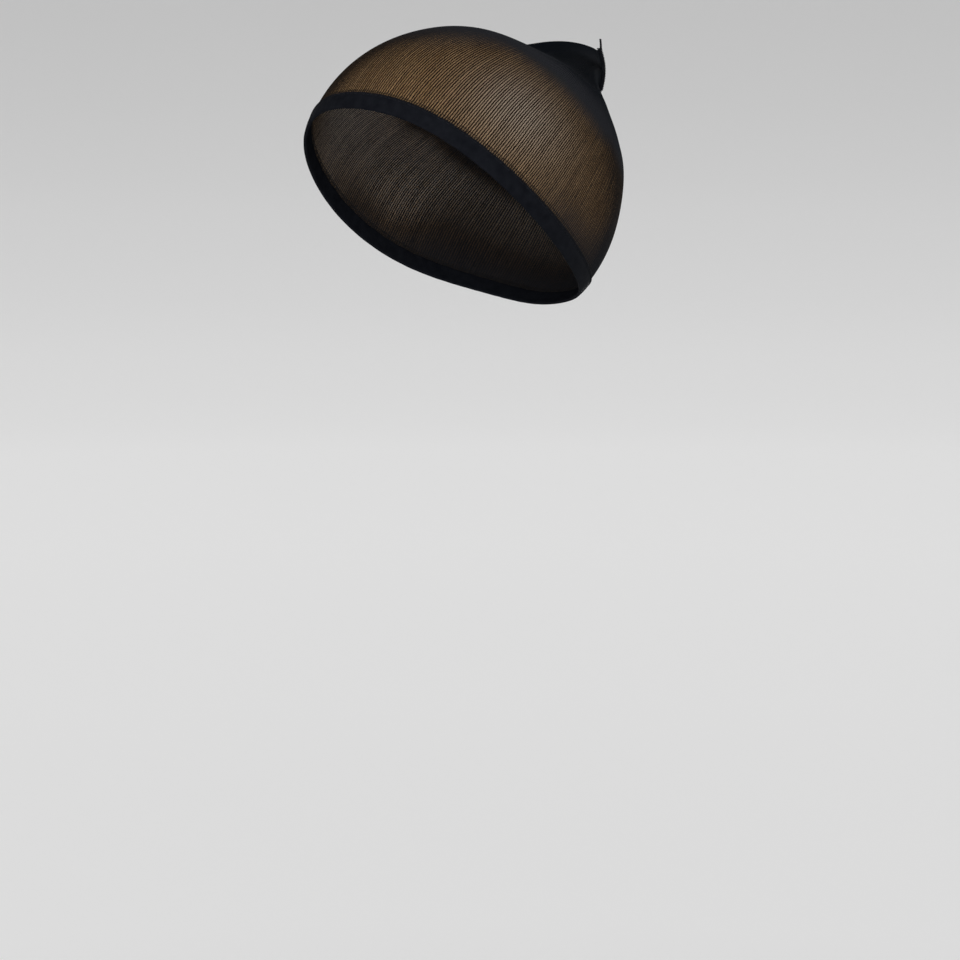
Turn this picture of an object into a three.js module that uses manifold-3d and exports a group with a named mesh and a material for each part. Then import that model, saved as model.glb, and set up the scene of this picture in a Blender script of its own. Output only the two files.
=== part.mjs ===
// A stocking wig cap as it sits on a head: a sheer knitted crown that runs on into a slack pouch at the
// upper back, an elastic band round its edge, and the overlocked seam that closes the pouch.
// Millimetres, +Z up, the face side towards -Y. The origin is where the head's top bears on the crown.
import * as THREE from 'three';
import { mergeVertices } from 'three/addons/utils/BufferGeometryUtils.js';
import Module from 'manifold-3d';

// ---- driving dimensions -------------------------------------------------------------------------------

// The head that the cap is stretched over, about its centre at the widest level.
const HEAD = {
  halfWidth: 75,
  halfLength: 94,
  rise: 80.5,
  drop: 83,
  roundness: 2.14, // the exponent of its upright profile: 2 is an ellipse, more is fuller
};

// The middle line of the band: its level at the head's middle, its fall from front to back, and how much
// it dips below that slope over the ears and at the nape. More sharpness keeps a dip closer to its middle.
const HEM = { level: -15.4, slope: 0.75, earDip: 13.7, napeDip: 4.5, sharpness: 4 };

const BAND = { depth: 9.5, thickness: 1.6, edgeRadius: 0.5 };
const KNIT = { thickness: 1.0, hemGap: 0.3 };

// The pouch's axis leaves the head at this height angle, seen from the side.
const POUCH_ANGLE = 32;

// Where the cloth leaves the head, as an angle away from the pouch's axis, and the length of its straight
// run from there. Rows go round the pouch from its top (turn 0) down to its underside (turn 180).
const POUCH_BASE = [
  { turn: 0, away: 31.5, run: 1 },
  { turn: 45, away: 38, run: 14 },
  { turn: 90, away: 37, run: 12 },
  { turn: 135, away: 33, run: 14 },
  { turn: 180, away: 38, run: 24 },
];

// The closed end of the pouch: a bowed line in the cap's middle plane, and the half widths of the flat end
// of the cloth's outer and inner skins on it.
const SEAM_LINE = {
  topY: 109.3,
  topZ: 66.2,
  bottomY: 110.4,
  bottomZ: 43.6,
  bow: 3,
  outerHalf: 1.15,
  innerHalf: 0.25,
};

// How far the cloth swells just in front of that line: sideways, towards the face, and up or down.
const PUFF = {
  top: { side: 15.5, front: 30, swell: 11.2 },
  under: { side: 4, front: 13, swell: 9.4 },
};

// The overlocked ridge along that line, and the loose end of its thread.
const RIDGE = { gap: 0.3, depth: 3.4, thickness: 2.4, overrun: 0.6, bevel: 0.72, steps: 10 };
const TAIL = { root: 1, rise: 5.2, bow: 0.24, lean: 0.4, radius: 0.4, steps: 8 };

// Where the cloth is higher or lower than the head round the pouch: the flat of the crown in front of it,
// then soft folds that run out from it over the back. Each has died away by reach past the pouch's base.
const FOLDS = [
  { turn: 0, height: -6.5, halfTurn: 60, reach: 31 },
  { turn: 78, height: 1.5, halfTurn: 9, reach: 34 },
  { turn: 122, height: 1.6, halfTurn: 10, reach: 34 },
  { turn: 156, height: 1.2, halfTurn: 10, reach: 30 },
];

// How finely the cloth is divided: strands round the band, rows over the head and rows along the pouch.
const AROUND = 84;
const HEAD_ROWS = 11;
const POUCH_ROWS = 9;

// The step, in radians, between two neighbouring points that give a slope.
const NEARBY = 0.01;

// ---- the head's surface -------------------------------------------------------------------------------

const radians = THREE.MathUtils.degToRad;

// The head is a little longer below its widest level than above it.
function halfHeight(z) {
  return z > 0 ? HEAD.rise : HEAD.drop;
}

function headAxes(z) {
  return new THREE.Vector3(HEAD.halfWidth, HEAD.halfLength, halfHeight(z));
}

// Scales a point out or in, along its own direction, to the head's surface raised by lift.
function onHead(point, lift) {
  const { halfWidth, halfLength, roundness } = HEAD;
  const flat = Math.hypot(point.x / (halfWidth + lift), point.y / (halfLength + lift));
  const tall = Math.abs(point.z) / (halfHeight(point.z) + lift);
  const size = (flat ** roundness + tall ** roundness) ** (1 / roundness);
  return point.clone().divideScalar(size);
}

// The same surface seen as a unit ball, where arcs to the pouch are simple great circles.
function toBall(point) {
  return point.clone().divide(headAxes(point.z)).normalize();
}

function fromBall(direction, lift) {
  return onHead(direction.clone().multiply(headAxes(direction.z)), lift);
}

// ---- the band's line ----------------------------------------------------------------------------------

const HEM_PRECISION = 1e-9;

// A point of the band's middle line. The angle runs from the forehead over the +X side.
function hemPoint(angle) {
  const { halfWidth, halfLength, rise, drop, roundness } = HEAD;
  const at = (z) => {
    const tall = Math.abs(z) / halfHeight(z);
    const flat = (1 - tall ** roundness) ** (1 / roundness);
    return new THREE.Vector3(halfWidth * flat * Math.sin(angle), -halfLength * flat * Math.cos(angle), z);
  };
  const towardsNape = (1 - Math.cos(angle)) / 2;
  const dip = HEM.earDip * Math.sin(angle) ** HEM.sharpness + HEM.napeDip * towardsNape ** HEM.sharpness;
  const above = (z) => z - (HEM.level - HEM.slope * at(z).y - dip);
  let low = -drop;
  let high = rise;
  while (high - low > HEM_PRECISION) {
    const middle = (low + high) / 2;
    if (above(middle) > 0) high = middle;
    else low = middle;
  }
  return at((low + high) / 2);
}

// A point of the cloth, a distance up from the band's middle line and a lift out from the head.
function hemCloth(angle, up, lift) {
  const point = hemPoint(angle);
  const along = hemPoint(angle + NEARBY).sub(hemPoint(angle - NEARBY));
  const out = point.clone().divide(headAxes(point.z)).divide(headAxes(point.z));
  const uphill = out.cross(along).normalize();
  return onHead(point.addScaledVector(uphill, up), lift);
}

// ---- the knitted crown --------------------------------------------------------------------------------

const POUCH_AXIS = new THREE.Vector3(0, Math.cos(radians(POUCH_ANGLE)), Math.sin(radians(POUCH_ANGLE)));
const POUCH_UP = new THREE.Vector3(0, -POUCH_AXIS.z, POUCH_AXIS.y);
const SIDE = new THREE.Vector3(1, 0, 0);

// Reads a column of the pouch's table at a turn from 0 to 180 degrees, smoothly.
function pouchBase(turn, column) {
  const steps = POUCH_BASE.length - 1;
  const place = (Math.abs(turn) / Math.PI) * steps;
  const row = Math.min(Math.floor(place), steps - 1);
  const share = THREE.MathUtils.smoothstep(place - row, 0, 1);
  return THREE.MathUtils.lerp(POUCH_BASE[row][column], POUCH_BASE[row + 1][column], share);
}

// How far the soft folds lift the cloth off the head.
function foldHeight(turn, away) {
  const base = radians(pouchBase(turn, 'away'));
  let height = 0;
  for (const fold of FOLDS) {
    const offset = (Math.abs(turn) - radians(fold.turn)) / radians(fold.halfTurn);
    const faded = 1 - THREE.MathUtils.smoothstep(away, base, base + radians(fold.reach));
    height += fold.height * Math.exp(-offset * offset) * faded;
  }
  return height;
}

// A point on the head's stretched cloth, by its turn round the pouch's axis and its angle away from it.
function headCloth(turn, away, lift) {
  const direction = POUCH_AXIS.clone()
    .multiplyScalar(Math.cos(away))
    .addScaledVector(POUCH_UP, Math.sin(away) * Math.cos(turn))
    .addScaledVector(SIDE, Math.sin(away) * Math.sin(turn));
  return fromBall(direction, lift + foldHeight(turn, away));
}

// The closed end of the pouch. An inset gives the smaller end of the inner skin.
function seamPoint(turn, inset) {
  const down = Math.abs(turn) / Math.PI;
  const top = new THREE.Vector2(SEAM_LINE.topY - inset, SEAM_LINE.topZ - inset);
  const bottom = new THREE.Vector2(SEAM_LINE.bottomY - inset, SEAM_LINE.bottomZ + inset);
  const place = top.lerp(bottom, down);
  const bulge = SEAM_LINE.bow * Math.sin(Math.PI * down);
  const half = THREE.MathUtils.lerp(SEAM_LINE.outerHalf, SEAM_LINE.innerHalf, inset / KNIT.thickness);
  return new THREE.Vector3(half * Math.sin(turn), place.x + bulge, place.y);
}

// From the closed end to where the cloth swells just in front of it.
function pouchPuff(turn, inset) {
  const topShare = (1 + Math.cos(turn)) / 2;
  const blend = (column) => THREE.MathUtils.lerp(PUFF.under[column], PUFF.top[column], topShare);
  const side = (blend('side') - inset) * Math.sin(turn);
  const swell = Math.cos(turn) > 0 ? PUFF.top.swell : PUFF.under.swell;
  return new THREE.Vector3(side, -blend('front'), (swell - inset) * Math.cos(turn));
}

// One strand of the knit, from the band to the seam. At 0 it is at the band, at 1 at the seam.
function strandPoint(angle, row, inset) {
  const start = toBall(hemCloth(angle, BAND.depth / 2 + KNIT.hemGap, 0));
  const turn = Math.atan2(start.dot(SIDE), start.dot(POUCH_UP));
  const startAway = Math.acos(start.dot(POUCH_AXIS));
  const baseAway = radians(pouchBase(turn, 'away'));
  const lift = KNIT.thickness - inset;
  if (row <= HEAD_ROWS) {
    const share = row / HEAD_ROWS;
    return headCloth(turn, THREE.MathUtils.lerp(startAway, baseAway, share), lift);
  }
  const base = headCloth(turn, baseAway, lift);
  const before = headCloth(turn, baseAway + NEARBY, lift);
  const onwards = base.clone().sub(before).normalize();
  const end = seamPoint(turn, inset);
  const puff = pouchPuff(turn, inset);
  const curve = new THREE.CubicBezierCurve3(
    base,
    base.clone().addScaledVector(onwards, pouchBase(turn, 'run')),
    end.clone().add(puff),
    end,
  );
  return curve.getPoint((row - HEAD_ROWS) / POUCH_ROWS);
}

// ---- turning rows of points into closed solids --------------------------------------------------------

function solid(points, triangles) {
  const places = points.flatMap((point) => point.toArray());
  const geometry = new THREE.BufferGeometry();
  geometry.setAttribute('position', new THREE.Float32BufferAttribute(places, 3));
  geometry.setIndex(triangles.flat());
  return geometry;
}

// Joins rings of equal length into a skin. Each ring runs the same way round.
function skin(first, rings, size, flip) {
  const triangles = [];
  for (let ring = 0; ring < rings - 1; ring += 1) {
    for (let i = 0; i < size; i += 1) {
      const a = first + ring * size + i;
      const b = first + ring * size + ((i + 1) % size);
      const c = a + size;
      const d = b + size;
      triangles.push(flip ? [a, c, b] : [a, b, c], flip ? [b, c, d] : [b, d, c]);
    }
  }
  return triangles;
}

// Closes a flat ring, whose left and right halves mirror each other, with a strip between them.
function zip(first, size, flip) {
  const triangles = [];
  for (let i = 0; i < size / 2; i += 1) {
    const a = first + i;
    const b = first + i + 1;
    const c = first + ((size - i) % size);
    const d = first + size - i - 1;
    if (a !== c) triangles.push(flip ? [a, c, b] : [a, b, c]);
    if (b !== d) triangles.push(flip ? [b, c, d] : [b, d, c]);
  }
  return triangles;
}

function crownGeometry() {
  const rows = HEAD_ROWS + POUCH_ROWS + 1;
  const points = [];
  for (const inset of [0, KNIT.thickness]) {
    for (let row = 0; row < rows; row += 1) {
      for (let i = 0; i < AROUND; i += 1) {
        points.push(strandPoint((2 * Math.PI * i) / AROUND, row, inset));
      }
    }
  }
  const inner = rows * AROUND;
  const lastRow = (rows - 1) * AROUND;
  const triangles = [
    ...skin(0, rows, AROUND, false),
    ...skin(inner, rows, AROUND, true),
    ...zip(lastRow, AROUND, false),
    ...zip(inner + lastRow, AROUND, true),
  ];
  for (let i = 0; i < AROUND; i += 1) {
    const next = (i + 1) % AROUND;
    triangles.push([i, inner + i, next], [next, inner + i, inner + next]);
  }
  return solid(points, triangles);
}

// ---- the elastic band ---------------------------------------------------------------------------------

function bandGeometry() {
  const half = BAND.depth / 2;
  const round = BAND.edgeRadius;
  const section = [
    { up: -half + round, lift: 0 },
    { up: -half, lift: round },
    { up: -half, lift: BAND.thickness - round },
    { up: -half + round, lift: BAND.thickness },
    { up: 0, lift: BAND.thickness },
    { up: half - round, lift: BAND.thickness },
    { up: half, lift: BAND.thickness - round },
    { up: half, lift: round },
    { up: half - round, lift: 0 },
    { up: 0, lift: 0 },
  ];
  const points = [];
  for (const corner of [...section, section[0]]) {
    for (let i = 0; i < AROUND; i += 1) {
      points.push(hemCloth((2 * Math.PI * i) / AROUND, corner.up, corner.lift));
    }
  }
  const open = solid(points, skin(0, section.length + 1, AROUND, false));
  return mergeVertices(open);
}

// ---- the closing seam ---------------------------------------------------------------------------------

const wasm = await Module();
wasm.setup();

function toManifold(geometry) {
  const bare = geometry.clone();
  bare.deleteAttribute('normal');
  bare.deleteAttribute('uv');
  const merged = mergeVertices(bare);
  const mesh = new wasm.Mesh({
    numProp: 3,
    vertProperties: new Float32Array(merged.attributes.position.array),
    triVerts: new Uint32Array(merged.index.array),
  });
  return new wasm.Manifold(mesh);
}

function fromManifold(manifold) {
  const mesh = manifold.getMesh();
  const geometry = new THREE.BufferGeometry();
  geometry.setAttribute('position', new THREE.BufferAttribute(mesh.vertProperties, 3));
  geometry.setIndex(new THREE.BufferAttribute(mesh.triVerts, 1));
  return geometry;
}

// The ridge follows the pouch's closed end, drawn in the plane of Y and Z.
function ridgeGeometry() {
  const { topZ, bottomZ } = SEAM_LINE;
  const { gap, depth, thickness, overrun, bevel, steps } = RIDGE;
  const outline = new THREE.Shape();
  const edge = (share, out) => {
    const place = seamPoint(Math.PI * THREE.MathUtils.clamp(share, 0, 1), 0);
    const z = THREE.MathUtils.lerp(topZ + overrun, bottomZ - overrun, share);
    return [place.y + out, z];
  };
  const front = gap + bevel;
  const back = gap + depth - bevel;
  outline.moveTo(...edge(0, front));
  for (let i = 1; i <= steps; i += 1) outline.lineTo(...edge(i / steps, front));
  for (let i = steps; i >= 0; i -= 1) outline.lineTo(...edge(i / steps, back));
  outline.closePath();
  const geometry = new THREE.ExtrudeGeometry(outline, {
    depth: thickness - 2 * bevel,
    bevelThickness: bevel,
    bevelSize: bevel,
    bevelSegments: 2,
    steps: 1,
  });
  // The shape's X and Y become the cap's Y and Z.
  geometry.translate(0, 0, bevel - thickness / 2);
  geometry.applyMatrix4(new THREE.Matrix4().makeBasis(
    new THREE.Vector3(0, 1, 0),
    new THREE.Vector3(0, 0, 1),
    new THREE.Vector3(1, 0, 0),
  ));
  return geometry;
}

function tailGeometry() {
  const length = TAIL.root + TAIL.rise;
  const foot = seamPoint(0, 0).add(new THREE.Vector3(0, RIDGE.gap + RIDGE.depth / 2, -TAIL.root));
  const middle = foot.clone().add(new THREE.Vector3(0, TAIL.bow, length / 2));
  const tip = foot.clone().add(new THREE.Vector3(0, -TAIL.lean, length));
  const route = new THREE.QuadraticBezierCurve3(foot, middle, tip);
  const section = new THREE.Shape();
  section.absarc(0, 0, TAIL.radius, 0, 2 * Math.PI);
  return new THREE.ExtrudeGeometry(section, {
    extrudePath: route,
    steps: TAIL.steps,
    curveSegments: TAIL.steps,
  });
}

function seamGeometry() {
  return fromManifold(toManifold(ridgeGeometry()).add(toManifold(tailGeometry())));
}

// ---- the assembly -------------------------------------------------------------------------------------

function cloth(colour, roughness) {
  return new THREE.MeshStandardMaterial({ color: colour, roughness, metalness: 0 });
}

function piece(name, geometry, material) {
  const mesh = new THREE.Mesh(geometry, material);
  mesh.name = name;
  return mesh;
}

const wornCap = new THREE.Group();
wornCap.add(piece('crown', crownGeometry(), cloth(0x2b211c, 0.75)));
wornCap.add(piece('hem_band', bandGeometry(), cloth(0x0c0f16, 0.7)));
wornCap.add(piece('closing_seam', seamGeometry(), cloth(0x101117, 0.8)));
wornCap.position.z = -HEAD.rise;

const cap = new THREE.Group();
cap.add(wornCap);

export default cap;
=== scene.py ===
"""A sheer nylon wig cap in its worn form: stretch knit, elastic band, slack pouch and overlocked seam.

Metres, +Z up, the face side towards -Y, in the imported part's own frame. The cloth is worked out about the
head's centre, as the part's source does it, and then lowered so that the head's top is the origin.
"""

import math
from types import SimpleNamespace as Sizes

import bpy
import numpy as np
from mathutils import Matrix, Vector


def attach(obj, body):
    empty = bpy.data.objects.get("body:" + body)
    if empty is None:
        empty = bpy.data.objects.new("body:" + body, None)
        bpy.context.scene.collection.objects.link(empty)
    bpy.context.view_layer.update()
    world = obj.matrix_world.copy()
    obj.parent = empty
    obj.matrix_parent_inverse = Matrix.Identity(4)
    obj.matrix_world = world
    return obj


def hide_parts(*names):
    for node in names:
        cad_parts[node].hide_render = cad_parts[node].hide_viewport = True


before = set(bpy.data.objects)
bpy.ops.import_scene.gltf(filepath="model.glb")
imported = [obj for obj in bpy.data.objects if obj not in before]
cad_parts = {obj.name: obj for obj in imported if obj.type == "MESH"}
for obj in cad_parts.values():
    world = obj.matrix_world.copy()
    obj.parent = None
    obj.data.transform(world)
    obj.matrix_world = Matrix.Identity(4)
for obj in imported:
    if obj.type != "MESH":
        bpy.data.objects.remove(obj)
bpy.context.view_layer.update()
BODY = "root"

# ---- sizes, as in the part's source ---------------------------------------------------------------------

HEAD = Sizes(half_width=0.075, half_length=0.094, rise=0.0805, drop=0.083, roundness=2.14)
HEM = Sizes(level=-0.0154, slope=0.75, ear_dip=0.0137, nape_dip=0.0045, sharpness=4)
BAND = Sizes(depth=0.0095, thickness=0.0016)
KNIT = Sizes(thickness=0.001, hem_gap=0.0003)
POUCH_ANGLE = math.radians(32)

# Rows go round the pouch from its top to its underside: degrees away from its axis, and a straight run.
POUCH_BASE = [
    Sizes(turn=0, away=31.5, run=0.001),
    Sizes(turn=45, away=38, run=0.014),
    Sizes(turn=90, away=37, run=0.012),
    Sizes(turn=135, away=33, run=0.014),
    Sizes(turn=180, away=38, run=0.024),
]
SEAM_LINE = Sizes(
    top_y=0.1093,
    top_z=0.0662,
    bottom_y=0.1104,
    bottom_z=0.0436,
    bow=0.003,
    outer_half=0.00115,
    inner_half=0.00025,
)
PUFF_TOP = Sizes(side=0.0155, front=0.030, swell=0.0112)
PUFF_UNDER = Sizes(side=0.004, front=0.013, swell=0.0094)
RIDGE = Sizes(gap=0.0003, depth=0.0034, thickness=0.0024, overrun=0.0006)
TAIL = Sizes(root=0.001, rise=0.0052, bow=0.00024, lean=0.0004)
FOLDS = [
    Sizes(turn=0, height=-0.0065, half_turn=60, reach=31),
    Sizes(turn=78, height=0.0015, half_turn=9, reach=34),
    Sizes(turn=122, height=0.0016, half_turn=10, reach=34),
    Sizes(turn=156, height=0.0012, half_turn=10, reach=30),
]

# ---- steps of the working -------------------------------------------------------------------------------

SEED = 20
NEARBY = 0.01  # a small step round or along the cloth, to find its directions
STEP_OUT = 0.001  # a small step off the cloth, to find the way out of the head
HALVINGS = 40  # how often the search for the band's height is halved
HEM_STEPS = 2880  # how finely the band's line is measured before it is shared out evenly

# ---- sizes of the finish --------------------------------------------------------------------------------

MIDDLE = KNIT.thickness / 2  # the knit's own middle, between the solid's inner and outer skins
TUCK = 0.0012  # how far the knit runs in under the band
FILM = Sizes(head_rows=81, pouch_rows=61, columns=337, weld=0.00001, clearest=0.88, opaque_from=0.6)

WALES = 384
WALE = Sizes(
    cover=0.56,
    narrow=0.86,
    wide=1.14,
    rise=0.00028,
    sink=0.00003,
    zigzag=0.00008,
    jitter=0.00003,
    stray=0.035,
    stray_waves=(4, 11, 25),
    head_loops=96,
    pouch_loops=36,
)
COURSES = 144
COURSE = Sizes(radius=0.00018, sides=3, wander=0.00016, jitter=0.00004)
EDGE_COURSES = Sizes(count=5, pitch=0.0005)  # the close courses just above the band

# How the wales stray round the pouch: a drift that is most at the peak, and a swing back higher up.
ROUTE = Sizes(
    drift=0.40,
    first=math.radians(18),
    peak=math.radians(94),
    swing=0.105,
    swing_first=0.2,
    swing_last=0.9,
)

# How far up the knit stops being stretched sheer: sooner over the forehead than at the sides and the back.
# The sooner start over the forehead is painted shade, darkening the cap's top there.
SLACK_AND_SHADE = Sizes(brow_first=0.22, side_first=0.48, back_first=0.56, depth=0.20)
BROW_SHADE = Sizes(first=math.radians(10), full=math.radians(40))
BACK = Sizes(first=math.radians(78), full=math.radians(90))

# The denser strip above the band: narrow from the ears on, and deeper and denser towards the nape.
STRIP = Sizes(first=math.radians(63), full=math.radians(87), reach=0.16, share=0.72)
NAPE = Sizes(first=math.radians(95), full=math.radians(118), reach=0.40, share=0.90)

# Where the slack knit is near black: in the pouch, and partly so just above the band.
DEEP = Sizes(band_share=0.45, band_full=0.15, band_last=0.35, pouch_first=0.68)

# The middle and the reach of the two patches above the ears where the knit is stretched most, which carry a
# painted highlight in a paler, greyer film colour.
HIGHLIGHT_PATCHES = Sizes(side=math.radians(56), round_it=math.radians(17), along=0.28, up_it=0.22)

# The band's soft outline, and on its outer face a slight crown, a stitched channel and a faint unevenness.
OUTLINE = Sizes(corner=0.00062, corner_steps=4, face_steps=8)
FACE = Sizes(
    first=0.0008,
    full=0.0014,
    crown=0.00022,
    channel=0.00016,
    channel_half=0.0004,
    edge_wave=0.00005,
    wave=0.00002,
)
BAND_WAVES = ((37, 0), (61, 1.3))  # how many go round, and where each starts

STITCH = Sizes(
    count=190,
    up=0.0036,
    length=0.0021,
    gap=0.0005,
    radius=0.00016,
    sides=5,
    steps=8,
    fineness=40,
    lift=0.00006,
    sink=0.00028,
    sink_power=4,
)
ZIGZAG = Sizes(
    radius=0.00017,
    sides=5,
    steps=4,
    half_height=0.00095,
    middle=0.0004,
    squareness=0.8,
    edge_half=0.0004,
    lift=0.0001,
)

# The ridge's core and the thread round it each stand in from the ridge's full size.
CORE = Sizes(
    steps=40,
    sides=20,
    squareness=0.7,
    side_inset=0.00045,
    back_inset=0.0004,
    end_power=12,
    full=0.96,
    tip=0.02,
)
WRAP = Sizes(
    turns=27,
    steps=26,
    radius=0.00021,
    sides=6,
    squareness=0.8,
    side_inset=0.00026,
    back_inset=0.00022,
    slant=0.0002,
)
PLY = Sizes(steps=32, sides=6, back_share=0.88, twists=3.2, apart=0.0003, radius=0.00042, taper=0.15)

# ---- points and directions ------------------------------------------------------------------------------

SIDE = np.array([1.0, 0.0, 0.0])
POUCH_AXIS = np.array([0.0, math.cos(POUCH_ANGLE), math.sin(POUCH_ANGLE)])
POUCH_UP = np.array([0.0, -POUCH_AXIS[2], POUCH_AXIS[1]])


def unit(v):
    return v / np.linalg.norm(v, axis=-1, keepdims=True)


def lerp(a, b, share):
    return a + (b - a) * share


def smoothstep(x, low, high):
    share = np.clip((x - low) / (high - low), 0, 1)
    return share * share * (3 - 2 * share)


def xyz(x, y, z):
    return np.stack(np.broadcast_arrays(x, y, z), axis=-1)


def by_turns(count):
    """1 and -1 by turns."""
    return np.where(np.arange(count) % 2 == 0, 1, -1)


def squarer(wave, power):
    """A wave between -1 and 1, pushed out towards its two ends by a power under 1."""
    return np.sign(wave) * np.abs(wave) ** power


# ---- the head's surface ---------------------------------------------------------------------------------


def half_height(z):
    return np.where(z > 0, HEAD.rise, HEAD.drop)


def head_axes(z):
    return xyz(HEAD.half_width, HEAD.half_length, half_height(z))


def on_head(point, lift):
    x, y, z = np.moveaxis(point, -1, 0)
    flat = np.hypot(x / (HEAD.half_width + lift), y / (HEAD.half_length + lift))
    tall = np.abs(z) / (half_height(z) + lift)
    size = (flat**HEAD.roundness + tall**HEAD.roundness) ** (1 / HEAD.roundness)
    return point / size[..., None]


def hem_point(angle):
    """The band's middle line. The angle runs from the forehead over the +X side."""

    def at(z):
        tall = np.abs(z) / half_height(z)
        flat = (1 - tall**HEAD.roundness) ** (1 / HEAD.roundness)
        return xyz(HEAD.half_width * flat * np.sin(angle), -HEAD.half_length * flat * np.cos(angle), z)

    towards_nape = (1 - np.cos(angle)) / 2
    dip = HEM.ear_dip * np.sin(angle) ** HEM.sharpness + HEM.nape_dip * towards_nape**HEM.sharpness
    low = np.full_like(angle, -HEAD.drop)
    high = np.full_like(angle, HEAD.rise)
    for _ in range(HALVINGS):
        middle = (low + high) / 2
        above = middle > HEM.level - HEM.slope * at(middle)[..., 1] - dip
        high = np.where(above, middle, high)
        low = np.where(above, low, middle)
    return at((low + high) / 2)


def hem_cloth(angle, up, lift):
    """A point a distance up from the band's middle line and a lift out from the head."""
    point = hem_point(angle)
    along = hem_point(angle + NEARBY) - hem_point(angle - NEARBY)
    out = point / head_axes(point[..., 2]) ** 2
    uphill = unit(np.cross(out, along))
    return on_head(point + uphill * np.asarray(up)[..., None], lift)


def hem_outwards(angle, up, lift):
    """The way out of the head at a point by the band."""
    return unit(hem_cloth(angle, up, lift + STEP_OUT) - hem_cloth(angle, up, lift))


def side_angle(angle):
    """The angle from the forehead: up to half a turn over the +X side, and below 0 over the other."""
    return (angle + math.pi) % (2 * math.pi) - math.pi


# ---- the crown's cloth ----------------------------------------------------------------------------------


def pouch_base(turn, column):
    """Reads a column of the pouch's table at a turn, smoothly."""
    values = np.array([getattr(row, column) for row in POUCH_BASE])
    steps = len(values) - 1
    place = np.abs(turn) / math.pi * steps
    row = np.minimum(np.floor(place).astype(int), steps - 1)
    return lerp(values[row], values[row + 1], smoothstep(place - row, 0, 1))


def fold_height(turn, away):
    base = np.radians(pouch_base(turn, "away"))
    height = 0
    for fold in FOLDS:
        offset = (np.abs(turn) - math.radians(fold.turn)) / math.radians(fold.half_turn)
        faded = 1 - smoothstep(away, base, base + math.radians(fold.reach))
        height = height + fold.height * np.exp(-offset * offset) * faded
    return height


def head_cloth(turn, away, lift):
    direction = (
        POUCH_AXIS * np.cos(away)[..., None]
        + POUCH_UP * (np.sin(away) * np.cos(turn))[..., None]
        + SIDE * (np.sin(away) * np.sin(turn))[..., None]
    )
    return on_head(direction * head_axes(direction[..., 2]), lift + fold_height(turn, away))


def seam_point(turn, inset):
    down = np.abs(turn) / math.pi
    y = lerp(SEAM_LINE.top_y - inset, SEAM_LINE.bottom_y - inset, down)
    z = lerp(SEAM_LINE.top_z - inset, SEAM_LINE.bottom_z + inset, down)
    half = lerp(SEAM_LINE.outer_half, SEAM_LINE.inner_half, inset / KNIT.thickness)
    return xyz(half * np.sin(turn), y + SEAM_LINE.bow * np.sin(math.pi * down), z)


def pouch_puff(turn, inset):
    top_share = (1 + np.cos(turn)) / 2
    side = (lerp(PUFF_UNDER.side, PUFF_TOP.side, top_share) - inset) * np.sin(turn)
    front = lerp(PUFF_UNDER.front, PUFF_TOP.front, top_share)
    swell = np.where(np.cos(turn) > 0, PUFF_TOP.swell, PUFF_UNDER.swell) - inset
    return xyz(side, -front, swell * np.cos(turn))


def wale_drift(angle, along):
    """How far a wale strays round the pouch: forwards from the ears as it climbs, and back higher up."""
    side = side_angle(angle)
    away = np.abs(side)
    share = smoothstep(away, ROUTE.first, ROUTE.peak) * (1 - smoothstep(away, ROUTE.peak, math.pi))
    climbed = np.clip(along, 0, 1)
    swing = ROUTE.swing * np.sin(side) * smoothstep(climbed, ROUTE.swing_first, ROUTE.swing_last)
    return swing - np.sign(side) * ROUTE.drift * share * climbed


def cloth(angle, along, lift):
    """Points of the crown. Along is 0 at the band, 1 where the cloth leaves the head and 2 at the seam."""
    angle, along, lift = np.broadcast_arrays(*(np.asarray(v, float) for v in (angle, along, lift)))
    start = hem_cloth(angle, BAND.depth / 2 + KNIT.hem_gap, 0)
    start = unit(start / head_axes(start[..., 2]))
    turn = np.arctan2(start @ SIDE, start @ POUCH_UP) + wale_drift(angle, along)
    base_away = np.radians(pouch_base(turn, "away"))
    away = lerp(np.arccos(start @ POUCH_AXIS), base_away, np.clip(along, None, 1))
    on = head_cloth(turn, away, lift)

    base = head_cloth(turn, base_away, lift)
    onwards = unit(base - head_cloth(turn, base_away + NEARBY, lift))
    inset = KNIT.thickness - lift
    end = seam_point(turn, inset)
    t = np.clip(along - 1, 0, 1)[..., None]
    run = base + onwards * pouch_base(turn, "run")[..., None]
    puff = end + pouch_puff(turn, inset)
    off = (1 - t) ** 3 * base + 3 * (1 - t) ** 2 * t * run + 3 * (1 - t) * t**2 * puff + t**3 * end
    return np.where((along <= 1)[..., None], on, off)


def outwards(angle, along, lift):
    """The cloth's outward normal."""
    round_it = cloth(angle + NEARBY, along, lift) - cloth(angle - NEARBY, along, lift)
    up_it = cloth(angle, np.minimum(along + NEARBY, 2), lift) - cloth(angle, along - NEARBY, lift)
    return unit(np.cross(round_it, up_it))


def even_angles(count):
    """Angles round the band that lie the same distance apart along it."""
    fine = np.linspace(0, 2 * math.pi, HEM_STEPS + 1)
    steps = np.linalg.norm(np.diff(hem_point(fine), axis=0), axis=-1)
    travelled = np.concatenate([[0], np.cumsum(steps)])
    return np.interp(np.arange(count) / count * travelled[-1], travelled, fine)


# ---- meshes ---------------------------------------------------------------------------------------------

STRAND_SHARE = 0.9  # how much of its own column on the map each strand takes
END_PLACE = 0.01  # where along the map a strand's two ends lie


def mesh_piece(name, points, faces, uv=None):
    """A smooth piece in the row frame from points about the head's centre."""
    points = np.asarray(points).reshape(-1, 3) - np.array([0, 0, HEAD.rise])
    mesh = bpy.data.meshes.new(name)
    mesh.from_pydata(points.tolist(), [], faces if isinstance(faces, list) else faces.tolist())
    if uv is not None:
        layer = mesh.uv_layers.new(name="OFBake")
        layer.uv.foreach_set("vector", np.asarray(uv, np.float32).ravel())
    mesh.shade_smooth()
    piece = bpy.data.objects.new(name, mesh)
    bpy.context.scene.collection.objects.link(piece)
    return piece


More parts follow.
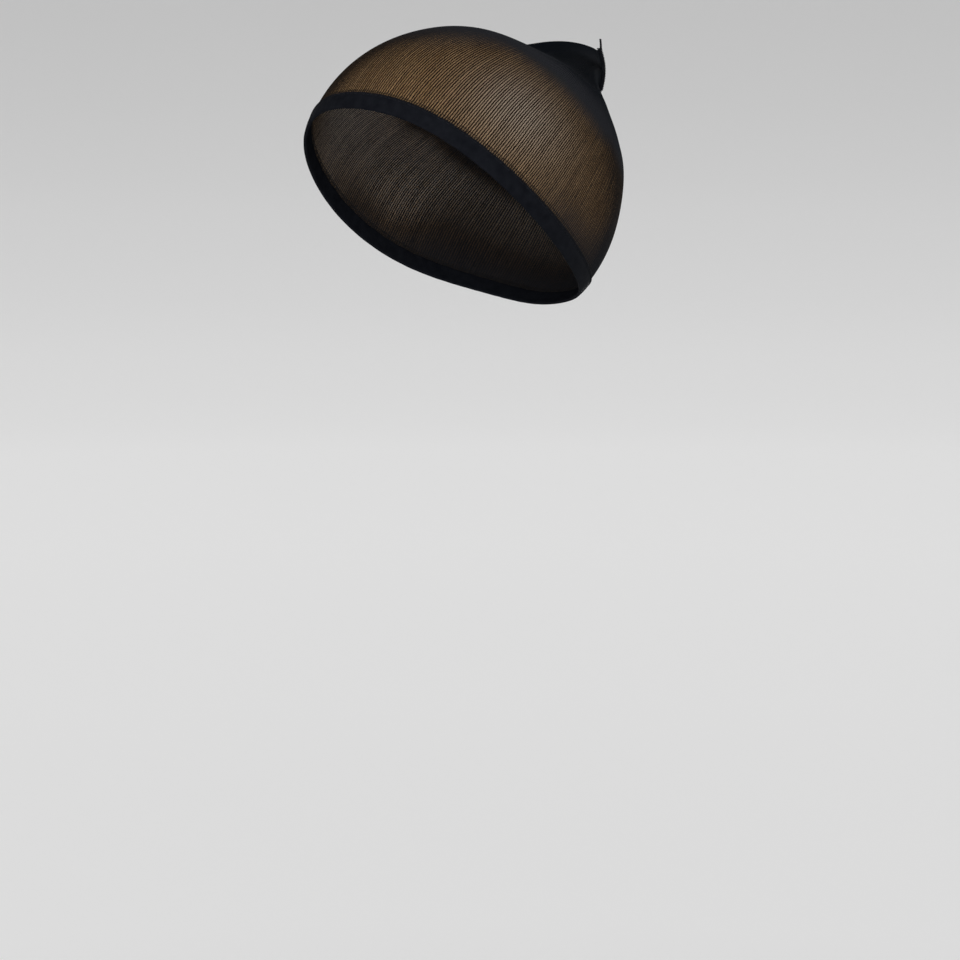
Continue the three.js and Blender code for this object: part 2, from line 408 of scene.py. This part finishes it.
def grid_faces(rows, columns, wrap):
    """Quads between rows of points, and the row and column of each of their corners."""
    last = columns if wrap else columns - 1
    row, column = np.meshgrid(np.arange(rows - 1), np.arange(last), indexing="ij")
    corners = np.stack(
        [
            np.stack([row, column], -1),
            np.stack([row, column + 1], -1),
            np.stack([row + 1, column + 1], -1),
            np.stack([row + 1, column], -1),
        ],
        axis=-2,
    ).reshape(-1, 4, 2)
    faces = corners[..., 0] * columns + corners[..., 1] % columns
    return faces, corners


def round_section(radius, sides):
    turn = 2 * math.pi * np.arange(sides) / sides
    return np.asarray(radius)[..., None, None] * np.stack([np.sin(turn), np.cos(turn)], -1)


def tube_mesh(centres, out, section, closed=False):
    """Tubes through rows of points, with each section corner's place across and out from the middle.

    Gives points, faces and the place of each face corner on a map.
    """
    strands, count = centres.shape[:2]
    sides = section.shape[-2]
    if closed:
        ahead = np.roll(centres, -1, axis=1) - np.roll(centres, 1, axis=1)
    else:
        ahead = np.gradient(centres, axis=1)
    ahead = unit(ahead)
    across = unit(np.cross(ahead, out))
    up = np.cross(across, ahead)
    section = np.broadcast_to(section, (strands, count, sides, 2))
    sideways = section[..., :1] * across[..., None, :]
    points = centres[..., None, :] + sideways + section[..., 1:] * up[..., None, :]

    steps = count if closed else count - 1
    strand, step, side = np.meshgrid(np.arange(strands), np.arange(steps), np.arange(sides), indexing="ij")

    def corner(p, k):
        return (strand * count + (step + p) % count) * sides + (side + k) % sides

    def place(p, k):
        return np.stack([(strand + (side + k) / sides * STRAND_SHARE) / strands, (step + p) / steps], -1)

    order = [(0, 0), (1, 0), (1, 1), (0, 1)]
    faces = np.stack([corner(p, k) for p, k in order], -1).reshape(-1, 4).tolist()
    uv = np.stack([place(p, k) for p, k in order], -2).reshape(-1, 2)
    if not closed:
        first = np.arange(strands)[:, None] * count * sides
        near = first + np.arange(sides)
        far = first + (count - 1) * sides + np.arange(sides)[::-1]
        faces += near.tolist() + far.tolist()
        ends = np.stack([(np.arange(strands) + 0.5) / strands, np.full(strands, END_PLACE)], -1)
        uv = np.concatenate([uv, np.repeat(ends, sides, axis=0), np.repeat(ends, sides, axis=0)])
    return points.reshape(-1, 3), faces, uv


def tube_piece(name, centres, out, section, closed=False):
    points, faces, uv = tube_mesh(centres, out, section, closed)
    return mesh_piece(name, points, faces, uv)


def store(piece, name, values):
    """Keeps a number at each point of a piece, for its material."""
    layer = piece.data.attributes.new(name, "FLOAT", "POINT")
    layer.data.foreach_set("value", np.ravel(values).astype(np.float32))


# ---- materials ------------------------------------------------------------------------------------------

# The dense knit on the head: its own slate, lightened by painted sheen. The pouch's near black is the knit's
# own.
SLATE_AND_SHEEN = (0.0165, 0.0172, 0.0206)
POUCH_BLACK = (0.0022, 0.0033, 0.0056)
NYLON = {"Sheen_Weight": 0.010, "Sheen_Roughness": 0.35, "Sheen_Tint": (0.75, 0.86, 1.0, 1)}
# The film's warm browns, and a paler, greyer one that is a painted highlight over two patches above the
# ears.
FILM_COLOURS = Sizes(dark=(0.152, 0.087, 0.036), light=(0.276, 0.173, 0.085), tight=(0.322, 0.256, 0.198))
ELASTIC = Sizes(dark=(0.0036, 0.0041, 0.0058), light=(0.0062, 0.0069, 0.0092))
YARNS = {
    "wale_yarn": Sizes(dark=(0.0030, 0.0020, 0.0014), light=(0.0250, 0.0160, 0.0098), scale=500),
    "course_yarn": Sizes(dark=(0.0080, 0.0065, 0.0060), light=(0.0160, 0.0125, 0.0100), scale=700),
    "seam_thread": Sizes(dark=(0.0045, 0.0050, 0.0065), light=(0.0100, 0.0105, 0.0130), scale=900),
    "stitch_thread": Sizes(dark=(0.0075, 0.0082, 0.0105), light=(0.0130, 0.0140, 0.0175), scale=900),
}
STRAND_BY_STRAND = (150, 110, 1)  # how finely the wales' yarn varies over the map


def new_material(name, **values):
    """A material and its shader, with the values that are the same all over set on the shader's sockets."""
    material = bpy.data.materials.new(name)
    material.use_nodes = True
    shader = material.node_tree.nodes["Principled BSDF"]
    for socket, value in values.items():
        shader.inputs[socket.replace("_", " ")].default_value = value
    return material, shader


def add_node(material, kind, **values):
    node = material.node_tree.nodes.new(kind)
    for key, value in values.items():
        setattr(node, key, value)
    return node


def join(material, start, end):
    material.node_tree.links.new(start, end)


def noise(material, scale, detail, stretch=None, by_map=False):
    """Noise by place on the object, or by place on its map, stretched along an axis if asked."""
    place = add_node(material, "ShaderNodeTexCoord").outputs["UV" if by_map else "Object"]
    if stretch is not None:
        mapping = add_node(material, "ShaderNodeMapping")
        mapping.inputs["Scale"].default_value = stretch
        join(material, place, mapping.inputs["Vector"])
        place = mapping.outputs["Vector"]
    node = add_node(material, "ShaderNodeTexNoise")
    node.inputs["Scale"].default_value = scale
    node.inputs["Detail"].default_value = detail
    join(material, place, node.inputs["Vector"])
    return node.outputs["Fac"]


def ramp(material, value, *stops):
    """A colour ramp with (place, colour) stops."""
    node = add_node(material, "ShaderNodeValToRGB")
    elements = node.color_ramp.elements
    while len(elements) < len(stops):
        elements.new(0.5)
    for element, (place, colour) in zip(elements, stops):
        element.position = place
        element.color = (*colour, 1)
    join(material, value, node.inputs["Fac"])
    return node.outputs["Color"]


def between(material, value, span, result):
    """Reads where a value lies in its span as the same place in the result's, which it doesn't leave."""
    node = add_node(material, "ShaderNodeMapRange")
    for socket, end in zip(("From Min", "From Max", "To Min", "To Max"), (*span, *result)):
        node.inputs[socket].default_value = end
    join(material, value, node.inputs["Value"])
    return node.outputs["Result"]


def stored(material, name):
    """A number that the piece keeps at its points, or 0 if it keeps none of that name."""
    return add_node(material, "ShaderNodeAttribute", attribute_name=name).outputs["Fac"]


def blend(material, a, b, share):
    node = add_node(material, "ShaderNodeMix", data_type="FLOAT")
    node.inputs["Factor"].default_value = share
    numbers = [socket for socket in node.inputs if socket.name in ("A", "B") and socket.type == "VALUE"]
    for socket, value in zip(numbers, (a, b)):
        join(material, value, socket)
    return node.outputs["Result"]


def bump(material, shader, height, distance, strength):
    node = add_node(material, "ShaderNodeBump")
    node.inputs["Distance"].default_value = distance
    node.inputs["Strength"].default_value = strength
    join(material, height, node.inputs["Height"])
    join(material, node.outputs["Normal"], shader.inputs["Normal"])


def mix_colour(material, share, a, b):
    node = add_node(material, "ShaderNodeMix", data_type="RGBA")
    colour_in = [s for s in node.inputs if s.type == "RGBA"]
    for socket, value in zip(colour_in, (a, b)):
        if isinstance(value, tuple):
            socket.default_value = (*value, 1)
        else:
            join(material, value, socket)
    join(material, share, node.inputs["Factor"])
    return [s for s in node.outputs if s.type == "RGBA"][0]


def slack_and_sheen_colour(material):
    """The dense knit's colour: slate on the head, partly its own and partly painted sheen, and near black in
    the pouch.
    """
    return mix_colour(material, stored(material, "deep"), SLATE_AND_SHEEN, POUCH_BLACK)


def film_material():
    """The fine loops between the wales: warm and slightly clear where stretched, with a painted highlight
    over two patches above the ears, opaque where slack.
    """
    material, shader = new_material("knit_film", Roughness=0.8, Specular_IOR_Level=0.02, **NYLON)
    slack = stored(material, "slack")
    streaks = noise(material, scale=14, detail=4, stretch=(9, 0.6, 1), by_map=True)
    grain = blend(material, streaks, noise(material, scale=850, detail=2), 0.5)
    warm = ramp(material, grain, (0.35, FILM_COLOURS.dark), (0.65, FILM_COLOURS.light))
    # Mixes in the painted highlight: a paler, greyer film over the two patches above the ears.
    stretched = mix_colour(material, stored(material, "tight"), warm, FILM_COLOURS.tight)
    colour = mix_colour(material, slack, stretched, slack_and_sheen_colour(material))
    join(material, colour, shader.inputs["Base Color"])
    clear = between(material, slack, (0, FILM.opaque_from), (FILM.clearest, 1))
    join(material, clear, shader.inputs["Alpha"])
    bump(material, shader, noise(material, scale=900, detail=2), distance=0.0001, strength=0.5)
    return material


def yarn_material(name, uneven=None):
    """Fine yarn, slate where the knit is slack, the slate on the head partly painted sheen.

    An uneven one also varies by its place on the map, from strand to strand and loop to loop.
    """
    yarn = YARNS[name]
    material, shader = new_material(name, Roughness=0.7, Specular_IOR_Level=0.03, **NYLON)
    mottled = noise(material, yarn.scale, detail=2)
    if uneven is not None:
        patches = noise(material, scale=1, detail=1, stretch=uneven, by_map=True)
        mottled = blend(material, mottled, patches, 0.6)
    own = ramp(material, mottled, (0.35, yarn.dark), (0.65, yarn.light))
    colour = mix_colour(material, stored(material, "slack"), own, slack_and_sheen_colour(material))
    join(material, colour, shader.inputs["Base Color"])
    bump(material, shader, noise(material, yarn.scale * 9, detail=2), distance=0.00006, strength=0.5)
    return material


def band_material():
    """Dense elastic knit: fine ribs across the band, faint courses along it, slate black."""
    material, shader = new_material("elastic_knit", Roughness=0.8, Specular_IOR_Level=0.02)
    mottled = noise(material, scale=220, detail=4)
    colour = ramp(material, mottled, (0.3, ELASTIC.dark), (0.7, ELASTIC.light))
    join(material, colour, shader.inputs["Base Color"])
    ribs = noise(material, scale=1, detail=1, stretch=(1100, 6, 1), by_map=True)
    bump(material, shader, ribs, distance=0.0002, strength=0.55)
    return material


# ---- the knit -------------------------------------------------------------------------------------------


def slack_and_shade(angle, along):
    """0 where the knit is stretched sheer, 1 where it is slack and dense. Over the forehead it rises sooner,
    as painted shade on the cap's top.
    """
    side = np.abs(side_angle(angle))
    nape = smoothstep(side, NAPE.first, NAPE.full)
    share = lerp(STRIP.share * smoothstep(side, STRIP.first, STRIP.full), NAPE.share, nape)
    reach = lerp(STRIP.reach, NAPE.reach, nape)
    strip = share * np.exp(-((along / reach) ** 2))
    back = smoothstep(side, BACK.first, BACK.full)
    full = lerp(SLACK_AND_SHADE.side_first, SLACK_AND_SHADE.back_first, back) + SLACK_AND_SHADE.depth
    # Over the forehead the dense knit starts sooner: painted shade on the cap's top.
    first = lerp(SLACK_AND_SHADE.brow_first, full - SLACK_AND_SHADE.depth, smoothstep(side, BROW_SHADE.first, BROW_SHADE.full))
    return 1 - (1 - smoothstep(along, first, full)) * (1 - strip)


def deepness(along):
    """0 over the head, 1 from where the cloth leaves it, and part of that near the band."""
    near_band = DEEP.band_share * (1 - smoothstep(along, DEEP.band_full, DEEP.band_last))
    return np.maximum(near_band, smoothstep(along, DEEP.pouch_first, 1))


def painted_highlight_share(angle, along):
    """1 in the middle of the two patches above the ears where the knit is stretched most, where the film
    carries a painted highlight.
    """
    round_it = (np.abs(side_angle(angle)) - HIGHLIGHT_PATCHES.side) / HIGHLIGHT_PATCHES.round_it
    up_it = (along - HIGHLIGHT_PATCHES.along) / HIGHLIGHT_PATCHES.up_it
    return np.exp(-(round_it**2) - up_it**2)


def under_band(angles):
    """The knit's lower edge, in under the band."""
    return hem_cloth(angles, BAND.depth / 2 - TUCK, MIDDLE)


def film_piece():
    """The knit's fine ground, from under the band to the seam, where its two sides meet."""
    head_rows = np.linspace(0, 1, FILM.head_rows)
    pouch_rows = np.linspace(1, 2, FILM.pouch_rows)[1:]
    angles = np.linspace(0, 2 * math.pi, FILM.columns)
    a, along = np.meshgrid(angles, np.concatenate([head_rows, pouch_rows]))
    grid = cloth(a, along, MIDDLE)
    pinched = grid[-1] * np.array([0, 1, 1]) + np.array([0, RIDGE.gap + RIDGE.depth / 3, 0])
    points = np.concatenate([under_band(angles)[None], grid, pinched[None]])
    faces, corners = grid_faces(len(points), len(angles), wrap=False)
    uv = np.stack([corners[..., 1] / (len(angles) - 1), corners[..., 0] / (len(points) - 1)], -1)
    piece = mesh_piece("knit_film", points, faces, uv)
    # The slack, the depth and the share of painted highlight, kept at each point for the material.
    kept = {"slack": slack_and_shade(a, along), "deep": deepness(along), "tight": painted_highlight_share(a, along)}
    for name, values in kept.items():
        store(piece, name, np.concatenate([values[:1], values, values[-1:]]))
    weld = piece.modifiers.new("weld", "WELD")
    weld.merge_threshold = FILM.weld
    return piece


def wale_rows():
    """Where a wale's loops lie: evenly over the head, then finer along the pouch."""
    head = np.arange(WALE.head_loops + 1) / WALE.head_loops
    pouch = 1 + np.arange(1, WALE.pouch_loops + 1) / WALE.pouch_loops
    return np.concatenate([head, pouch])


def wale_stray(count, rows, rng):
    """How far each wale wanders to either side as it climbs, as a share of the gap to the next."""
    stray = 0
    for waves in WALE.stray_waves:
        height = rng.normal(0, WALE.stray, (count, 1))
        start = rng.uniform(0, 2 * math.pi, (count, 1))
        stray = stray + height * np.sin(waves * rows + start)
    return stray


def wale_section(half_width):
    """A low three-sided rib, with its crest outwards."""
    level = 0 * half_width
    crest = np.stack([level, level + WALE.rise], -1)
    right = np.stack([half_width, level - WALE.sink], -1)
    left = np.stack([-half_width, level - WALE.sink], -1)
    return np.stack([crest, right, left], axis=-2)


def wale_piece(name, angles, gaps, rng):
    """Columns of loops. Each leans left and right by turns, and narrows as the knit slackens."""
    rows = wale_rows()
    along = rows[None, :]
    a = angles[:, None] + gaps[:, None] * wale_stray(len(angles), rows, rng)
    centres = cloth(a, along, MIDDLE)
    beside = cloth(a + gaps[:, None], along, MIDDLE)
    out = outwards(a, along, MIDDLE)
    across = unit(np.cross(np.gradient(centres, axis=1), out))
    pitch = np.abs(np.sum((beside - centres) * across, axis=-1))

    lean = by_turns(len(rows)) * WALE.zigzag * np.minimum(pitch / pitch[:, :1], 1)
    lean = lean + rng.normal(0, WALE.jitter, pitch.shape)
    half = WALE.cover / 2 * pitch
    half = half * rng.uniform(WALE.narrow, WALE.wide, (len(angles), 1))
    half = half * rng.uniform(WALE.narrow, WALE.wide, pitch.shape)

    centres = np.concatenate([under_band(angles)[:, None], centres + across * lean[..., None]], axis=1)
    out = np.concatenate([out[:, :1], out], axis=1)
    half = np.concatenate([half[:, :1], half], axis=1)
    section = wale_section(half)
    piece = tube_piece(name, centres, out, section)
    a, along = np.meshgrid(angles, np.concatenate([[0], rows]), indexing="ij")
    sides = section.shape[-2]
    store(piece, "slack", np.repeat(slack_and_shade(a, along), sides))
    store(piece, "deep", np.repeat(deepness(along), sides))
    return piece


def ring_piece(name, centres, out, slack, rng):
    """Rings of thread that wander up and down from wale to wale."""
    up = unit(np.cross(out, np.roll(centres, -1, axis=1) - centres))
    wander = by_turns(centres.shape[1]) * COURSE.wander + rng.normal(0, COURSE.jitter, centres.shape[:2])
    section = round_section(COURSE.radius, COURSE.sides)
    piece = tube_piece(name, centres + up * wander[..., None], out, section, closed=True)
    store(piece, "slack", np.repeat(slack, COURSE.sides))
    return piece


def course_piece(name, rows, angles, rng):
    """The rings that tie the wales, one between each loop and the next."""
    a, along = np.meshgrid(angles, rows)
    centres = cloth(a, along, MIDDLE)
    piece = ring_piece(name, centres, outwards(a, along, MIDDLE), slack_and_shade(a, along), rng)
    store(piece, "deep", np.repeat(deepness(along), COURSE.sides))
    return piece


def edge_course_piece(name, angles, rng):
    """The close rings just above the band, parallel to it."""
    heights = BAND.depth / 2 + KNIT.hem_gap + EDGE_COURSES.pitch * np.arange(EDGE_COURSES.count)
    a, up = np.meshgrid(angles, heights)
    return ring_piece(name, hem_cloth(a, up, MIDDLE), hem_outwards(a, up, MIDDLE), 0 * a, rng)


# ---- the band -------------------------------------------------------------------------------------------


def band_section():
    """The band's rounded outline, as how far up and how far out, from its inner lower corner round."""
    half, corner = BAND.depth / 2 - OUTLINE.corner, OUTLINE.corner
    run = np.linspace(-half, half, OUTLINE.face_steps + 1)[1:-1]
    inner, outer = corner, BAND.thickness - corner
    outer_face = [(up, BAND.thickness) for up in run]
    inner_face = [(up, 0.0) for up in run[::-1]]
    points = []
    for up, out, first, face in (
        (-half, inner, 270, []),
        (-half, outer, 180, outer_face),
        (half, outer, 90, []),
        (half, inner, 0, inner_face),
    ):
        for step in range(OUTLINE.corner_steps + 1):
            turn = math.radians(first - 90 * step / OUTLINE.corner_steps)
            points.append((up + corner * math.cos(turn), out + corner * math.sin(turn)))
        points += face
    return np.array(points)


def band_piece():
    """The folded elastic, slightly crowned outside, with the channel that its row of stitches pulls in."""
    angles = even_angles(WALES * 2)
    section = band_section()
    a = angles[:, None]
    wave = sum(np.sin(a * count + start) for count, start in BAND_WAVES)
    up = section[:, 0] + FACE.edge_wave * wave
    lift = section[:, 1][None, :]
    crown = FACE.crown * (1 - (up / (BAND.depth / 2)) ** 2)
    channel = FACE.channel * np.exp(-(((up - STITCH.up) / FACE.channel_half) ** 2))
    lift = lift + smoothstep(lift, FACE.first, FACE.full) * (crown - channel + FACE.wave * wave)
    points = hem_cloth(np.broadcast_to(a, lift.shape), up, lift)
    faces, corners = grid_faces(len(angles) + 1, len(section), wrap=True)
    faces = faces % (len(angles) * len(section))
    uv = np.stack([corners[..., 0] / len(angles), corners[..., 1] / len(section)], -1)
    return mesh_piece("elastic_band", points, faces, uv)


# ---- stitches -------------------------------------------------------------------------------------------


def stitch_piece():
    """A row of straight stitches below the band's upper edge, each sunk at its two ends."""
    places = even_angles(STITCH.count * STITCH.fineness)
    share = np.linspace(0, 1, STITCH.steps + 1)
    span = STITCH.length / (STITCH.length + STITCH.gap)
    index = (np.arange(STITCH.count)[:, None] + share[None, :] * span) * STITCH.fineness
    angles = np.interp(index, np.arange(len(places) + 1), np.append(places, places[0] + 2 * math.pi))
    sink = STITCH.sink * np.abs(2 * share - 1) ** STITCH.sink_power
    lift = np.broadcast_to(BAND.thickness + STITCH.lift - sink, angles.shape)
    centres = hem_cloth(angles, STITCH.up, lift)
    out = hem_outwards(angles, STITCH.up, lift)
    return tube_piece("band_stitches", centres, out, round_section(STITCH.radius, STITCH.sides))


def zigzag_piece():
    """The thread that joins the knit to the band, to and fro over the band's upper edge."""
    places = even_angles(WALES * ZIGZAG.steps * 2)
    swing = np.abs((np.arange(len(places)) / ZIGZAG.steps) % 2 - 1) * 2 - 1
    edge = BAND.depth / 2
    up = edge - ZIGZAG.middle + squarer(swing, ZIGZAG.squareness) * ZIGZAG.half_height
    over_band = smoothstep(up, edge + ZIGZAG.edge_half, edge - ZIGZAG.edge_half)
    lift = lerp(KNIT.thickness, BAND.thickness + ZIGZAG.lift, over_band)
    centres = hem_cloth(places, up, lift)[None]
    out = hem_outwards(places, up, lift)[None]
    return tube_piece("band_zigzag", centres, out, round_section(ZIGZAG.radius, ZIGZAG.sides), closed=True)


# ---- the closing seam -----------------------------------------------------------------------------------


def ridge_line(share):
    """The middle of the ridge, from its top to its foot."""
    _, y, _ = np.moveaxis(seam_point(math.pi * np.clip(share, 0, 1), 0), -1, 0)
    z = lerp(SEAM_LINE.top_z, SEAM_LINE.bottom_z, share) + RIDGE.overrun * (1 - 2 * share)
    return xyz(0 * share, y + RIDGE.gap + RIDGE.depth / 2, z)


def ridge_outline(turn, shape):
    """How far to the side and back the ridge's squarish outline lies at a turn, inset as the shape says."""
    side = squarer(np.cos(turn), shape.squareness) * (RIDGE.thickness / 2 - shape.side_inset)
    back = squarer(np.sin(turn), shape.squareness) * (RIDGE.depth / 2 - shape.back_inset)
    return side, back


def ridge_piece():
    """The trimmed edges inside the overlock, as one soft strip with rounded ends."""
    share = np.linspace(0, 1, CORE.steps + 1)
    around = 2 * math.pi * np.arange(CORE.sides) / CORE.sides
    side, back = ridge_outline(around, CORE)
    ends = np.sqrt(1 - np.abs(2 * share - 1) ** CORE.end_power)[:, None] * CORE.full + CORE.tip
    points = ridge_line(share)[:, None, :] + xyz(side * ends, back * ends, 0)
    faces, corners = grid_faces(len(share), len(around), wrap=True)
    uv = np.stack([corners[..., 1] / len(around), corners[..., 0] / len(share)], -1).reshape(-1, 2)
    last = (len(share) - 1) * len(around)
    caps = [list(range(len(around)))[::-1], list(range(last, last + len(around)))]
    uv = np.concatenate([uv, np.full((2 * len(around), 2), 0.5)])
    return mesh_piece("seam_core", points, faces.tolist() + caps, uv)


def wrap_piece():
    """The overlock's thread, wound round the ridge and slanted as it crosses each side."""
    count = WRAP.turns * WRAP.steps
    share = np.arange(count + 1) / count
    turn = 2 * math.pi * WRAP.turns * share
    side, back = ridge_outline(turn, WRAP)
    centres = ridge_line(share) + xyz(side, back, WRAP.slant * np.sin(2 * turn))
    out = unit(xyz(side, back, 0))
    return tube_piece("seam_wraps", centres[None], out[None], round_section(WRAP.radius, WRAP.sides))


def tail_piece():
    """The loose end of the overlock's thread: two plies twisted together."""
    share = np.linspace(0, 1, PLY.steps + 1)
    length = TAIL.root + TAIL.rise
    foot = seam_point(np.array(0.0), 0) + np.array([0, RIDGE.gap + RIDGE.depth * PLY.back_share, -TAIL.root])
    middle = foot + np.array([0, TAIL.bow, length / 2])
    tip = foot + np.array([0, -TAIL.lean, length])
    t = share[:, None]
    line = (1 - t) ** 2 * foot + 2 * (1 - t) * t * middle + t**2 * tip
    turn = 2 * math.pi * PLY.twists * share
    taper = 1 - PLY.taper * share
    aside = xyz(np.cos(turn), np.sin(turn), 0) * (PLY.apart * taper)[:, None]
    centres = np.stack([line + aside, line - aside])
    out = np.broadcast_to(np.array([0.0, 1.0, 0.0]), centres.shape)
    return tube_piece("thread_tail", centres, out, round_section(PLY.radius * taper[None, :], PLY.sides))


# ---- the pieces -----------------------------------------------------------------------------------------


def finish_piece(piece, material, slot, *replaced):
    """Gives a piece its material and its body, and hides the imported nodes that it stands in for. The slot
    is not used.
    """
    piece.data.materials.append(material)
    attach(piece, BODY)
    if replaced:
        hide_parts(*replaced)


def build_cap():
    """Every piece of the cap. The random draws follow the order in which the knit's pieces are made."""
    rng = np.random.default_rng(SEED)
    wale_yarn = yarn_material("wale_yarn", uneven=STRAND_BY_STRAND)
    course_yarn = yarn_material("course_yarn")
    thread = yarn_material("seam_thread")
    light_thread = yarn_material("stitch_thread")
    elastic = band_material()

    film = film_piece()
    finish_piece(film, film_material(), "sheer_knit", "crown")

    angles = even_angles(WALES)
    gaps = np.diff(angles, append=2 * math.pi)
    half = WALES // 2
    wales = [
        wale_piece("wales_left", angles[:half], gaps[:half], rng),
        wale_piece("wales_right", angles[half:], gaps[half:], rng),
    ]
    rows = (np.arange(COURSES) + 0.5) / COURSES
    third = COURSES // 3
    courses = [
        course_piece("courses_lower", rows[:third], angles, rng),
        course_piece("courses_middle", rows[third : 2 * third], angles, rng),
        course_piece("courses_upper", rows[2 * third :], angles, rng),
        edge_course_piece("courses_edge", angles, rng),
    ]
    for piece in wales:
        finish_piece(piece, wale_yarn, "sheer_knit")
    for piece in courses:
        finish_piece(piece, course_yarn, "sheer_knit")

    finish_piece(band_piece(), elastic, "elastic_band", "hem_band")
    finish_piece(stitch_piece(), light_thread, "seam_thread")
    finish_piece(zigzag_piece(), thread, "seam_thread")

    finish_piece(ridge_piece(), elastic, "elastic_band", "closing_seam")
    finish_piece(wrap_piece(), thread, "seam_thread")
    finish_piece(tail_piece(), thread, "seam_thread")


# ---- the studio -----------------------------------------------------------------------------------------

FLOOR = Sizes(level=-1.0, radius=5.6, bend=1.6, wall=3.4, bend_steps=12, sides=96, grey=0.5)

# The sweep's own light: shares of the way out from its middle, and how light it is there.
GLOW = (
    (0.15, 0.430),
    (0.3, 0.517),
    (0.45, 0.540),
    (0.62, 0.547),
    (0.78, 0.529),
    (0.87, 0.476),
    (0.924, 0.404),
    (0.975, 0.298),
)
AIR = 0.18  # the strength of the even light from all round
LIT_POINT = (0, 0.01, -0.07)
LAMPS = (
    Sizes(name="key", azimuth=38, elevation=26, distance=1.7, size=0.8, power=26, spread=180),
    Sizes(name="fill", azimuth=-25, elevation=25, distance=1.9, size=1.1, power=5, spread=180),
    Sizes(name="back", azimuth=222, elevation=-4, distance=1.9, size=0.9, power=4.3, spread=60),
    Sizes(name="side", azimuth=158, elevation=-10, distance=1.9, size=0.8, power=0.9, spread=60),
)

# The camera's direction and distance from the head's centre, half the view's width there, and how far to the
# right of the centre and below it the view's middle lies.
VIEW = Sizes(
    azimuth=42,
    elevation=4,
    distance=2.0,
    half_width=0.25286,
    right=0.00917,
    down=0.1574,
    sensor=36,
)


def aim(thing, place, target):
    """Puts a lamp or a camera at a place and turns it to the target."""
    thing.location = place
    thing.rotation_mode = "QUATERNION"
    thing.rotation_quaternion = (Vector(target) - Vector(place)).to_track_quat("-Z", "Y")


def towards_viewer(azimuth, elevation):
    """The direction to a viewer who stands round from the front by one angle and above it by the other."""
    a, e = math.radians(azimuth), math.radians(elevation)
    return Vector((math.sin(a) * math.cos(e), -math.cos(a) * math.cos(e), math.sin(e)))


def paper_material():
    """Pale paper that glows a little, most in a ring round the object and least far up the wall."""
    grey = (FLOOR.grey, FLOOR.grey, FLOOR.grey, 1)
    material, shader = new_material("studio_paper", Base_Color=grey, Roughness=0.9, Specular_IOR_Level=0.0)
    shader.inputs["Emission Strength"].default_value = 1.0
    point = add_node(material, "ShaderNodeTexCoord").outputs["Object"]
    distance = add_node(material, "ShaderNodeVectorMath", operation="LENGTH")
    join(material, point, distance.inputs[0])
    share = between(material, distance.outputs["Value"], (0, FLOOR.radius + FLOOR.bend), (0, 1))
    glow = ramp(material, share, *((place, (light, light, light)) for place, light in GLOW))
    join(material, glow, shader.inputs["Emission Color"])
    return material


def build_stage():
    """A round pale floor that bends up into a wall all round."""
    profile = [(0.0, 0.0), (FLOOR.radius / 2, 0.0), (FLOOR.radius, 0.0)]
    for step in range(1, FLOOR.bend_steps + 1):
        turn = math.radians(90 * step / FLOOR.bend_steps)
        profile.append((FLOOR.radius + FLOOR.bend * math.sin(turn), FLOOR.bend * (1 - math.cos(turn))))
    profile.append((FLOOR.radius + FLOOR.bend, FLOOR.bend + FLOOR.wall))
    radius, height = np.array(profile).T[..., None]
    turn = 2 * math.pi * np.arange(FLOOR.sides) / FLOOR.sides
    points = xyz(radius * np.cos(turn), radius * np.sin(turn), height + FLOOR.level + HEAD.rise)
    faces, _ = grid_faces(len(profile), len(turn), wrap=True)
    floor = mesh_piece("studio_floor", points, faces)
    floor.data.materials.append(paper_material())


def build_lights():
    """The key near the viewer, a weak fill, and two weak narrow lamps behind, for the cap's back and rim."""
    world = bpy.data.worlds.new("studio_air")
    bpy.context.scene.world = world
    world.use_nodes = True
    background = world.node_tree.nodes["Background"]
    background.inputs["Color"].default_value = (1, 1, 1, 1)
    background.inputs["Strength"].default_value = AIR
    for lamp in LAMPS:
        light = bpy.data.lights.new(lamp.name, "AREA")
        light.energy = lamp.power
        light.size = lamp.size
        light.spread = math.radians(lamp.spread)
        holder = bpy.data.objects.new(lamp.name, light)
        bpy.context.scene.collection.objects.link(holder)
        direction = towards_viewer(lamp.azimuth, lamp.elevation)
        aim(holder, Vector(LIT_POINT) + direction * lamp.distance, LIT_POINT)


def build_camera():
    """The viewing angle of a portrait from the left of the face, with the cap high in the frame."""
    centre = Vector((0, 0, -HEAD.rise))
    back = towards_viewer(VIEW.azimuth, VIEW.elevation)
    across = towards_viewer(VIEW.azimuth + 90, 0)
    camera = bpy.data.cameras.new("camera")
    camera.sensor_width = VIEW.sensor
    camera.lens = VIEW.sensor / 2 * VIEW.distance / VIEW.half_width
    holder = bpy.data.objects.new("camera", camera)
    bpy.context.scene.collection.objects.link(holder)
    target = centre + across * VIEW.right - back.cross(across) * VIEW.down
    aim(holder, centre + back * VIEW.distance, target)
    bpy.context.scene.camera = holder


bpy.context.scene.view_settings.view_transform = "Standard"
build_camera()
build_cap()
build_stage()
build_lights()
